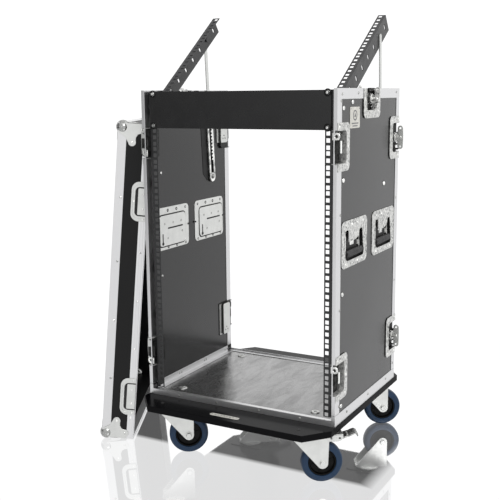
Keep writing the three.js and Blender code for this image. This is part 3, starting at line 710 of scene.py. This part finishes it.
def latch_back(side, s, where):
    """Riveted plate behind a latch and the closing profile's flange past it, on the inner face."""
    m = latch_frame(s, where) @ Matrix.Translation((0, 0, PANEL_IN - OUT))
    p = Piece(f"latch_back_{side}_{where}")
    high = where.endswith("upper")
    v0, v1 = ((-33, 22) if high else (-35, 56)) if s < 0 else ((-22, 33) if high else (-56, 35))
    w = -6.4  # just under the pocket's floor
    back = m @ Matrix.Rotation(math.pi, 4, "X")
    far, near = -52.4, -18.5
    p.plate(m, rounded(far, v0, near, v1, 4, 4), w - 1.4, w, (), 0.5, 2)
    # the block behind the plate is near-black: painted shade in the gap behind it
    p.block(m, far + 1, near - 1, v0 + 1, v1 - 1, w - 0.4, -0.3, 0.3, 1)
    p.plate(m, rounded(far - 12, v0, far + 4, v1, 3, 3), -1.3, -0.2, (), 0.3, 2)
    for u, v in ((-42, v1 - 12), (-36, v1 - 20), (-30, v1 - 12)):
        p.lathe(move(back, u, -v, -w), [(0, 1.3), (2.0, 1.3), (1.8, 1.8), (0, 1.8)], 12, 1)
    for v in (v0 + 6, v1 - 6):
        p.rivet(move(back, far - 6, -v), 0, 0, 1.2, 2.6, 0.5)
    # near-black strips along the plate's lower and far edges: a painted shadow outline
    p.block(m, far - 14, near, v0 - 3.4, v0 - 0.8, -1.5, -0.2, 0.3, 1)
    p.block(m, far - 15.4, far - 12.2, v0 - 3.4, v1, -1.5, -0.2, 0.3, 1)
    p.block(m, near + 0.4, -15.0, v0 + 3, v1 - 3, w - 1.0, w - 0.2, 0.2, 3)
    p.make("zinc_bright dark castor alu_z", "case", "zinc_plate")


# ---- bolts and rivets ----
def fasteners(side, s):
    """Bolts and rivets of one side, and the bracket beside the top of its front rail."""
    p = Piece(f"wall_bolts_{side}")
    for y, z in ((23.7, 877.5), (76, 890), (25.6, 717), (290, 686), (24.6, 454), (23.3, 186.4)):
        m = wall(s, y, z)
        # a thin near-black ring under each bolt head: a painted shadow round the head
        p.lathe(m, [(0, -0.2), (6.8, -0.2), (6.8, 0.3), (6.2, 0.5), (0, 0.5)], 22, 1)
        p.lathe(m, [(0, 0.3), (5.4, 0.3), (5.3, 1.2), (4.4, 2.4), (2.6, 3.2), (0, 3.5)], 22)
        inner = lining(s, y, z)
        p.lathe(inner, [(0, -0.3), (4.6, -0.3), (4.6, 1.6), (3.9, 2.1), (0, 2.1)], 6)
    for y, z in ((51.6, 714), (45, 447), (32, 412), (28, 322)):
        p.rivet(lining(s, y, z), 0, 0, 0, 3.4, 1.8)
    p.make("zinc_bright dark", "case", "zinc_plate")
    p = Piece(f"edging_rivets_{side}")
    head = [(0, -0.3), (3.4, -0.3), (3.2, 0.7), (1.7, 1.2), (1.3, 0.5), (0, 0.5)]
    for y, z in ((14, 908), (9, 893), (249, 915), (370, 911), (9, 640), (9, 420), (9, 190),
                 (381, 640), (381, 420), (381, 190), (110, 910), (60, 160), (200, 160),
                 (330, 160)):
        p.lathe(wall(s, y, z, OUT), head, 16)
    for y in (112, 122, 240, 250, 356, 370):
        p.rivet(lining(s, y, 163.5, PANEL_IN - 1.7), 0, 0, 0, 2.7, 1.2)
    for y, k in ((FRONT, 1), (REAR, -1)):
        m = axes((0, y, 0), (k, 0, 0), (0, 0, 1), (0, -k, 0))
        for x in (60, 170):
            p.rivet(m, s * x, 152.5, 0, 2.6, 1.0)
    p.make("zinc_dark", "case", "zinc_plate")
    p = Piece(f"rail_bracket_{side}")
    m = axes((s * 246.3, 0, 0), (0, s, 0), (0, 0, 1), (s, 0, 0))
    tab = [(141, 905), (163, 905), (163, 921), (157, 927), (147, 927), (141, 921)]
    p.plate(m, [(s * a, b) for a, b in tab], 0, 1.6, [circle(s * 152, 920, 2.4, 12)], 0.4)
    p.block(m, *sorted((s * 141, s * 163)), 893, 906, 4.2, 5.8, 0.4)
    p.block(m, *sorted((s * 141, s * 163)), 904.4, 906, 0, 5.8, 0.3)
    p.make("zinc", "case", "zinc_plate")


STAY_FOOT = (295.8, 684.8)  # y and z of the stays' pivots
STAY_ANGLE = {"right": 92.5832, "left": 93.8097}


def stay(side, s):
    """Toothed channel on its pivot; the rod keeps its CAD shape."""
    a = math.radians(STAY_ANGLE[side])
    up = Vector((0, math.cos(a), math.sin(a)))
    across = up.cross(EX * s)
    m = axes((0, *STAY_FOOT), across, up, EX * s)
    p = Piece("stay_rack_" + side)
    back = [*arc(0, -2, 13.8, 180, 360, 12), (13.8, 186), (11.5, 188), (-11.5, 188), (-13.8, 186)]
    # the channel's back between its flanges is near-black: painted shade inside the channel
    p.plate(m, back, 249.3, 250.4, (), 0.3, 1)
    for sgn in (-1, 1):
        p.block(m, *sorted((sgn * 12.5, sgn * 13.8)), 0, 187, 245.9, 250.0, 0.3)
    k = -s  # the teeth are on the side toward the front
    sheet = (245.15, 245.75)  # lip and teeth
    lip = [(k * 13.8, 8), (k * 13.8, 187.5), (k * 7.2, 187.5), (k * 7.2, 8)]
    p.plate(m, lip, *sheet, (), 0.15)
    teeth = [(-k * 13.8, 8), (-k * 13.8, 187.5)]
    for i in range(15):
        t = 184 - 9.5 * i
        teeth += [(-k * 6.4, t), (-k * 0.8, t - 1.6), (-k * 1.6, t - 5.6), (-k * 6.4, t - 6.2)]
    teeth.append((-k * 6.4, 8))
    p.plate(m, teeth, *sheet, (), 0.12)
    foot = [*arc(0, -1, 13.8, 180, 360, 12), (13.8, 10), (-13.8, 10)]
    p.plate(m, foot, sheet[0], 250.2, (), 0.5)
    head = axes_of(m, (1, 0, 0), (0, -1, 0), (0, 0, -1))
    p.lathe(head, [(0, -245.5), (7.4, -245.5), (7.4, -244.6), (6.2, -243.2), (3.4, -242.2),
                   (0, -241.9)], 20, 2)
    p.lathe(m, [(0, 250.2), (4.6, 250.2), (4.6, 252.0), (0, 252.0)], 16)
    p.make("zinc_bright dark zinc_dark", "stay_channel_" + side, "zinc_plate",
           ["stay_channel_" + side])
    # a near-black bar flat on the wall beside the channel: a painted reflection of the channel's
    # dark back in the glossy wall
    p = Piece("stay_painted_reflection_" + side)
    bar = [(k * 13, 212), (k * 40, 212), (k * 40, 12), (k * 22, -8), (k * 13, -8)]
    p.plate(m, bar, 251.2, 252.1, (), 0.3)
    p.make("dark", "case", "black_steel")


def panel_screws():
    p = Piece("panel_screws")
    for x in (-HOLES_X, HOLES_X):
        for z in (911.65, 835.45):
            m = axes((x, -3.3, z), (1, 0, 0), (0, 0, 1), (0, -1, 0))
            p.lathe(m, [(0, -0.2), (9.0, -0.2), (9.0, 0.6), (8.0, 1.6), (6.4, 2.2), (5.6, 1.7),
                        (0, 1.7)], 24)
            p.lathe(m, [(0, 1.5), (5.4, 1.5), (5.3, 2.4), (4.4, 3.5), (2.6, 4.2), (0, 4.4)], 22, 1)
    p.make("hub zinc_bright", "case", "zinc_plate")


def floor_bolts():
    p = Piece("floor_bolts")
    for x in (-189, 189):
        for y in (34, 347):
            m = axes((x, y, FLOOR_TOP), EX, EY, EZ)
            p.lathe(m, [(0, -0.2), (11, -0.2), (11, 1.0), (9.6, 2.4), (6.4, 3.2), (0, 3.4)], 26)
            p.lathe(m, [(0, 3.2), (4.2, 3.2), (4.2, 4.2), (3.4, 4.8), (0, 4.8)], 6)
    p.make("zinc", "case", "zinc_plate")
    p = Piece("board_holes")
    # near-black rings on the board: painted shade in the holes
    for x in (-189.5, 189.5):
        m = axes((x, -60.5, BOARD_TOP), EX, EY, EZ)
        p.lathe(m, [(0, -0.1), (5.4, -0.1), (5.2, 0.5), (3.6, 0.7), (3.2, 0.15), (0, 0.15)], 18)
    p.make("dark", "case", "black_steel")


def maker_plates():
    """Small plates without lettering: a ring and bars on the wall, a slotted one on the board."""
    p = Piece("wall_badge")
    m = wall(1, 91.3, 855)
    p.plate(m, rounded(-29.5, -24, 29.5, 24, 3, 4), 0.1, 1.0, (), 0.3)
    p.plate(m, circle(0, 5, 12, 28), 0.9, 1.5, [circle(0, 5, 9.4, 28)], 0.2, 1)
    p.plate(m, [(0, 11), (5, 1.5), (-5, 1.5)], 0.9, 1.4, (), 0.15, 1)
    for v, half in ((-13, 20), (-19, 15)):
        p.plate(m, rounded(-half, v - 1.2, half, v + 1.2, 1, 2), 0.9, 1.35, (), 0.15, 1)
    for u in (-26, 26):
        p.rivet(m, u, 20, 1.0, 1.5, 0.7, 1)
    p.make("badge print", "case", "anodised_aluminium")
    p = Piece("board_plate")
    m = axes((-4, -69, BOARD_TOP), EX, EY, EZ)
    p.plate(m, rounded(-40, -6.5, 40, 6.5, 6, 6), 0.1, 1.1, (), 0.3)
    for k in range(7):
        p.plate(m, rounded(-27 + 8 * k, -2.4, -22 + 8 * k, 2.4, 0.8, 2), 1.0, 1.4, (), 0.1, 1)
    for u in (-34, 34):
        p.rivet(m, u, 0, 1.1, 1.8, 0.8, 1)
    p.make("badge zinc_dark", "case", "anodised_aluminium")


# ---- castors ----
TRAIL, WHEEL_R = 38.0, 50.0  # the axle lies this far from the swivel; the wheels' radius
YAW = math.radians(33)  # where the castors trail at rest
FORK_TOP, FORK_WIDE = 121.8, 21.2
CASTORS = (("front_left", -187, -16, False), ("front_right", 187, -16, True),
           ("rear_left", -187, 396, True), ("rear_right", 187, 396, False))


def castor(where, x, y, braked):
    """Fork, wheel and, on a braked one, the pedal."""
    trail = Vector((math.cos(YAW), math.sin(YAW), 0))
    axle = trail.cross(EZ)
    m = axes((x, y, 0), trail, EZ, axle)
    fork = Piece("castor_yoke_" + where)
    top, half, end = FORK_TOP, FORK_WIDE, 86 if braked else 51
    out = [(-34, top), (end, top)]
    if braked:
        out += [(86.5, 113), (82, 106.5), (76, 104.6), (53, 104.2)]
    out += arc(TRAIL, WHEEL_R, 13, 0, -138, 12) + [(-34.5, 114)]
    holes = [circle(78, 112.5, 2.5, 12), circle(58, 112.5, 2.3, 12)] if braked else []
    for c in (-half, half - 2.6):
        fork.plate(m, out, c, c + 2.6, holes, 0.7)
    roof = axes_of(m, (1, 0, 0), (0, 0, 1), (0, -1, 0))
    fork.plate(roof, rounded(-34, -half, end, half, [6, 2, 2, 6], 3), -top, -119.2, (), 0.6)
    head = axes((x, y, 0), EX, EY, EZ)
    fork.lathe(head, [(0, 121), (33, 121), (34.5, 122), (34.5, 123.4), (32, 123.8), (32, 124.6),
                      (30, 125), (30, 126.5), (0, 126.5)], 40)
    fork.lathe(head, [(0, 114), (8, 114), (9.4, 115.2), (9.4, 119.4), (0, 119.4)], 6)
    for sgn in (-1, 1):
        q = move(m, TRAIL, WHEEL_R) @ Matrix.Rotation(0 if sgn > 0 else math.pi, 4, "X")
        fork.lathe(q, [(0, 20.9), (9.2, 20.9), (9.2, 22.2), (0, 22.2)], 24)
        fork.lathe(q, [(0, 22), (7.4, 22), (7.6, 22.6), (7.6, 25), (6.6, 25.9), (0, 25.9)], 6)
    fork.bar(m, (TRAIL, WHEEL_R, -20), (TRAIL, WHEEL_R, 20), 4.4, 14)
    fork.make("castor", "castor_fork_" + where, "zinc_plate", ["castor_fork_" + where])

    w = Piece("castor_tyre_" + where)
    q = move(m, TRAIL, WHEEL_R)
    side = [(33.6, 12.6), (34.4, 13.9), (36.5, 14.5), (43, 14.4), (46.4, 13.4), (48.6, 10.8),
            (49.8, 7), (50, 3)]
    w.lathe(q, [(r, -a) for r, a in side] + [(r, a) for r, a in reversed(side)], 64)
    hub = [(33.8, 11.6), (32.6, 13.2), (30.8, 13.2), (29.8, 12), (28.6, 6.6), (15, 5.8), (13.6, 8),
           (12.8, 16.6), (11.6, 17.7), (4.9, 17.7)]
    w.lathe(q, [(r, -a) for r, a in hub] + [(r, a) for r, a in reversed(hub)], 48, 1)
    for k in range(6):
        arm = move(q, turn=60 * k + 15)
        for a, b in ((5.5, 7.6), (-7.6, -5.5)):
            w.block(arm, 14, 29.5, -1.3, 1.3, a, b, 0.5, 1)
    w.make("tyre hub", "castor_wheel_" + where, "blue_wheel", ["castor_wheel_" + where])

    if braked:
        b = Piece("castor_pedal_" + where)
        sheet = [(57, 117.5), (72, 113.2), (88, 113.4), (102, 117), (111, 121), (117, 122.4),
                 (122.4, 119.5), (123, 114), (120.6, 113.2), (119.2, 117.4), (115.6, 119.6),
                 (103.2, 114.2), (89, 110.2), (72, 109.8), (57, 113.8)]
        b.plate(m, sheet, -16.8, 16.8, (), 0.7)
        ear = [(57, 114), (57, 109.4), (70, 106.4), (86, 108.4), (96, 112.4), (88, 112.4),
               (72, 112)]
        for c in (-16.8, 14.4):
            b.plate(m, ear, c, c + 2.4, (), 0.5)
        b.bar(m, (64, 112, -18.2), (64, 112, 18.2), 3, 14)
        for k in (-1, 0, 1):
            b.block(m, 96, 100, 113.2, 117.2, 8 * k - 2.2, 8 * k + 2.2, 0.6)
        b.make("zinc_dark", "castor_brake_" + where, "zinc_plate", ["castor_brake_" + where])


# ---- the lid's fittings ----
LW, LD, LH = 520.0, 85.0, 840.0  # width, depth, height
LID_FOOT, LID_TURN, LID_LEAN = (-329.7, -2, 0), 26.4, 5.15
BALL_R, BALL_IN = 17.85, 11.7


def lid_frame():
    """At the lid's lower front corner: across it, into its depth, up along it."""
    a, t = math.radians(LID_TURN), math.radians(LID_LEAN)
    s, c, ls, lc = math.sin(a), math.cos(a), math.sin(t), math.cos(t)
    return axes(LID_FOOT, (-s, c, 0), (-c * lc, -s * lc, ls), (c * ls, s * ls, lc))


def lobed(big):
    """Corner plate with two riveted lobes, measured from the corner along both edges."""
    if big:
        return [(2, 0.8), (66, 0.8), *arc(61, 15, 10.2, -60, 100, 9), (52, 28), (47.5, 36),
                *arc(38, 48, 10.2, -25, 170, 11), (20, 36), (4, 26), (0.8, 18)]
    return [(2, 2), (26, 0.6), *arc(40, 11, 9.8, -90, 95, 9), (30, 20), (24, 24), (20, 30),
            *arc(11, 40, 9.8, -5, 180, 9), (0.6, 26)]


def lid_corners():
    """Three riveted plates and a ball at each corner of the lid's outer face."""
    m = lid_frame()
    p = Piece("lid_corners")
    for ka in (0, 1):
        for kh in (0, 1):
            a0, h0 = ka * LW, kh * LH
            sa, sh = 1 - 2 * ka, 1 - 2 * kh
            faces = (((a0, LD, h0), (0, -1, 0), (0, 0, sh), (-sa, 0, 0)),
                     ((a0, LD, h0), (sa, 0, 0), (0, 0, sh), (0, 1, 0)),
                     ((a0, LD, h0), (sa, 0, 0), (0, -1, 0), (0, 0, -sh)))
            for i, (o, u, v, w) in enumerate(faces):
                q = axes_of(m @ Matrix.Translation(o), u, v, w)
                p.plate(q, lobed(i == 0), 0.1, 1.3, (), 0.4)
                for c in ((61, 15), (38, 48)) if i == 0 else ((40, 11), (11, 40)):
                    p.rivet(q, *c, 1.3, 3.0, 1.3, 1)
            prof = [(BALL_R * math.sin(math.pi * i / 20), -BALL_R * math.cos(math.pi * i / 20))
                    for i in range(1, 20)]
            p.lathe(m @ Matrix.Translation((a0 + sa * BALL_IN, 74, h0 + sh * BALL_IN)),
                    [(0, -BALL_R), *prof, (0, BALL_R)], 36, 2)
    p.make("castor zinc_bright ball", "lid", "zinc_plate")


def lid_fittings():
    """Strikes on the lid's long sides, its rim and its rivets."""
    m = lid_frame()
    p = Piece("lid_strikes")
    bow = [(0.6, -51), *arc(21, -31, 20, 270, 360, 8), *arc(21, 31, 20, 0, 90, 8), (0.6, 51)]
    bay = [(0.6, 37.5), *arc(20, 26.5, 11, 90, 0, 6), *arc(20, -26.5, 11, 0, -90, 6), (0.6, -37.5)]
    rim = [(0.6, 43.5), *arc(21, 28, 15.5, 90, 0, 7), *arc(21, -28, 15.5, 0, -90, 7),
           (0.6, -43.5)]
    for a, sgn in ((0, -1), (LW, 1)):
        for h in (119.5, 643):
            q = axes_of(m @ Matrix.Translation((a, 0, h)), EY, EZ, (sgn, 0, 0))
            p.plate(q, bow + bay, 0.5, 1.9, (), 0.45)
            p.plate(q, bow + rim, 1.6, 2.6, (), 0.35)
            # a near-black strip behind the strike's bay: painted shade in the bay
            p.block(q, 0.8, 31.5, -37.5, 37.5, 0.2, 0.7, 0.1, 2)
            p.plate(q, rounded(1.0, -34.5, 24.0, 34.5, [1, 3, 3, 1], 3), 0.6, 2.0, (), 0.5)
            for d, v in ((8, -44.5), (8, 44.5), (10.5, -19), (10.5, 19), (34, 0)):
                p.rivet(q, d, v, 1.8, 2.6, 1.3, 1)
    p.make("castor zinc_bright dark", "lid", "zinc_plate")
    lid_rim(m)
    p = Piece("lid_rivets")
    for a, sgn in ((0, -1), (LW, 1)):
        q = axes_of(m @ Matrix.Translation((a, 0, 0)), EY, EZ, (sgn, 0, 0))
        for h in (166, 325, 483, 650):
            p.rivet(q, LD - 16, h, 0, 3.3, 1.5)
        for h in (60, 250, 380, 510, 780):
            p.rivet(q, 11, h, 0, 2.9, 1.3)
    q = axes_of(m @ Matrix.Translation((0, LD, 0)), EX, EZ, EY)
    for h in (166, 325, 483, 650):
        for a in (16, LW - 16):
            p.rivet(q, a, h, 0, 3.3, 1.5)
    for a in (130, 260, 390):
        for h in (16, LH - 16):
            p.rivet(q, a, h, 0, 3.3, 1.5)
    for kh in (0, 1):
        q = axes_of(m @ Matrix.Translation((0, 0, kh * LH)), EX, EY, (0, 0, 2 * kh - 1))
        for a in (100, 260, 420):
            p.rivet(q, a, LD - 16, 0, 3.1, 1.4)
            if kh:
                p.rivet(q, a, 11, 0, 2.9, 1.3)
    p.make("zinc_bright", "lid", "zinc_plate")


def lid_rim(m):
    """The hollow closing profile of the lid's open side, four mitred lengths."""
    p = Piece("lid_rim_profile")
    for o, u, w, run in (((0, 0, 0), EZ, EX, LH), ((LW, 0, LH), -EZ, -EX, LH),
                         ((0, 0, LH), EX, -EZ, LW), ((LW, 0, 0), -EX, EZ, LW)):
        q = axes_of(m @ Matrix.Translation(o), u, EY, w)
        for v0, v1, w0, w1 in ((0, 19, 0.02, 0.9), (0, 1.2, 0.02, 9.7), (0, 19, 8.6, 9.7)):
            verts = []
            for v in (v0, v1):
                for ww in (w0, w1):
                    verts += [(ww, v, ww), (run - ww, v, ww)]
            p.add(q, verts, [(0, 1, 3, 2), (4, 6, 7, 5), (0, 4, 5, 1), (2, 3, 7, 6),
                             (0, 2, 6, 4), (1, 5, 7, 3)])
        for v in (6.2, 12.8):
            p.plate(axes_of(q, EX, EY, -EZ), rounded(10, v - 0.7, run - 10, v + 0.7, 0.5, 2),
                    -0.4, 0.45, (), 0.15)
    p.make("alu_lid", "lid", "anodised_aluminium", ["lid_rim"])


def build():
    for side, s in SIDES:
        for where in LATCHES:
            latch_dish(side, s, where)
            latch_wing(side, s, where)
            if where.startswith("rear"):
                latch_back(side, s, where)
        for tail, cy, y0, y1 in HANDLES:
            handle_dish(side, s, tail, cy)
            handle_bail(side, s, tail, cy)
            back_cover(side, s, tail, cy, y0, y1)
        fasteners(side, s)
        stay(side, s)
    panel_screws()
    floor_bolts()
    maker_plates()
    for c in CASTORS:
        castor(*c)
    lid_corners()
    lid_fittings()


# ---- floor, light, camera ----
FLOOR_EDGE_X, FLOOR_EDGE_Y = X0 + 0.305, Y0 + 0.034  # the polished sheet ends here
FLOOR_SIZE, FLOOR_BLUR = 14.0, 0.035
SHARE_SHEET, SHARE_BEYOND = 0.90, 0.27
WORLD_LIGHT, KEY_POWER = 1.12, 60
CAM_AT, CAM_LENS = (999.609, -1762.086, 910.442), 61.877
CAM_YAW, CAM_PITCH, CAM_ROLL = map(math.radians, (28.7487, 10.30496, -0.5583))


def slope(t, socket, p0, c0, p1, c1):
    """In node tree t, a value that goes from c0 at p0 to c1 at p1."""
    r = t.nodes.new("ShaderNodeMapRange")
    t.links.new(socket, r.inputs["Value"])
    for key, v in (("From Min", p0), ("From Max", p1), ("To Min", c0), ("To Max", c1)):
        r.inputs[key].default_value = v
    return r.outputs["Result"]


def studio():
    """Pale floor that glows as painted light and takes no shadows, soft surroundings, one soft lamp
    and the camera.
    """
    sc = bpy.context.scene
    sc.view_settings.view_transform = "Standard"
    sc.view_settings.look = "None"
    me = bpy.data.meshes.new("studio_floor")
    bm = bmesh.new()
    bmesh.ops.create_grid(bm, x_segments=2, y_segments=2, size=FLOOR_SIZE)
    bm.to_mesh(me)
    bm.free()
    floor = bpy.data.objects.new("studio_floor", me)
    floor.location.z = -0.0006
    sc.collection.objects.link(floor)
    s = Shader("studio_floor_gloss")
    # a polished sheet under the case shades off into a paler, less reflecting floor whose paleness
    # is painted light, a glow with no shadows on it
    split = s.node("ShaderNodeSeparateXYZ", Vector=s.co)
    back = s.math("DIVIDE", s.math("SUBTRACT", FLOOR_EDGE_Y, split.outputs["Y"]), 0.02)
    right = s.math("DIVIDE", s.math("SUBTRACT", split.outputs["X"], FLOOR_EDGE_X), 0.04)
    outside = s.math("MAXIMUM", back, right)
    share = s.ramp(outside, [(0.0, SHARE_SHEET), (1.0, SHARE_BEYOND)])
    # toward the camera's side the glow is painted dimmer, most of all on the left: the blank panel
    # mirrors that
    near = slope(s.t, split.outputs["Y"], -1.3, 1.0, -0.7, 0.0)
    dim = slope(s.t, split.outputs["X"], -3.0, 0.95, -1.5, 0.0)
    glow = s.node("ShaderNodeEmission",
                  Color=s.mix(s.noise(1.5, 2.0), (0.985, 0.99, 1.0), (1.0, 1.0, 1.0)),
                  Strength=s.math("SUBTRACT", 1.0, s.math("MULTIPLY", near, dim)))
    gloss = s.node("ShaderNodeBsdfGlossy", Roughness=FLOOR_BLUR, Color=(0.97, 0.97, 0.975, 1))
    both = s.t.nodes.new("ShaderNodeMixShader")
    s.t.links.new(share, both.inputs[0])
    s.t.links.new(glow.outputs[0], both.inputs[1])
    s.t.links.new(gloss.outputs[0], both.inputs[2])
    s.t.links.new(both.outputs[0], s.t.nodes["Material Output"].inputs["Surface"])
    me.materials.append(s.mat)
    # a white cove behind and above, a dimmer room on the camera's side
    world = bpy.data.worlds.new("studio")
    world.use_nodes = True
    t = world.node_tree
    split = t.nodes.new("ShaderNodeSeparateXYZ")
    t.links.new(t.nodes.new("ShaderNodeTexCoord").outputs["Generated"], split.inputs[0])
    room = slope(t, split.outputs["X"], -0.60, 0.35, -0.33, 0.95)
    cove = slope(t, split.outputs["Y"], 0.0, 0.0, 0.12, 1.0)
    blend = t.nodes.new("ShaderNodeMix")
    t.links.new(cove, blend.inputs[0])
    t.links.new(room, blend.inputs[2])
    blend.inputs[3].default_value = 1.0
    t.links.new(blend.outputs[0], t.nodes["Background"].inputs[0])
    t.nodes["Background"].inputs[1].default_value = WORLD_LIGHT
    sc.world = world

    lamp = bpy.data.lights.new("key", "AREA")
    lamp.shape = "RECTANGLE"
    lamp.size = lamp.size_y = 2.4
    lamp.energy = KEY_POWER
    o = bpy.data.objects.new("key", lamp)
    o.location = (2.6, -2.2, 3.0)
    o.rotation_euler = (Vector((0.1, 0.0, 0.5)) - o.location).to_track_quat("-Z", "Y").to_euler()
    sc.collection.objects.link(o)

    cam = bpy.data.cameras.new("camera")
    cam.sensor_width = 36.0
    cam.lens = CAM_LENS
    cam.clip_end = 60
    o = bpy.data.objects.new("camera", cam)
    flat = math.cos(CAM_PITCH)
    fw = Vector((-math.sin(CAM_YAW) * flat, math.cos(CAM_YAW) * flat, -math.sin(CAM_PITCH)))
    rt = Vector((math.cos(CAM_YAW), math.sin(CAM_YAW), 0))
    up = rt.cross(fw)
    r2 = rt * math.cos(CAM_ROLL) + up * math.sin(CAM_ROLL)
    u2 = up * math.cos(CAM_ROLL) - rt * math.sin(CAM_ROLL)
    m = Matrix.Identity(4)
    for i, a in enumerate((r2, u2, -fw)):
        for r in range(3):
            m[r][i] = a[r]
    m.translation = at(*CAM_AT)
    o.matrix_world = m
    sc.collection.objects.link(o)
    sc.camera = o


build()
studio()
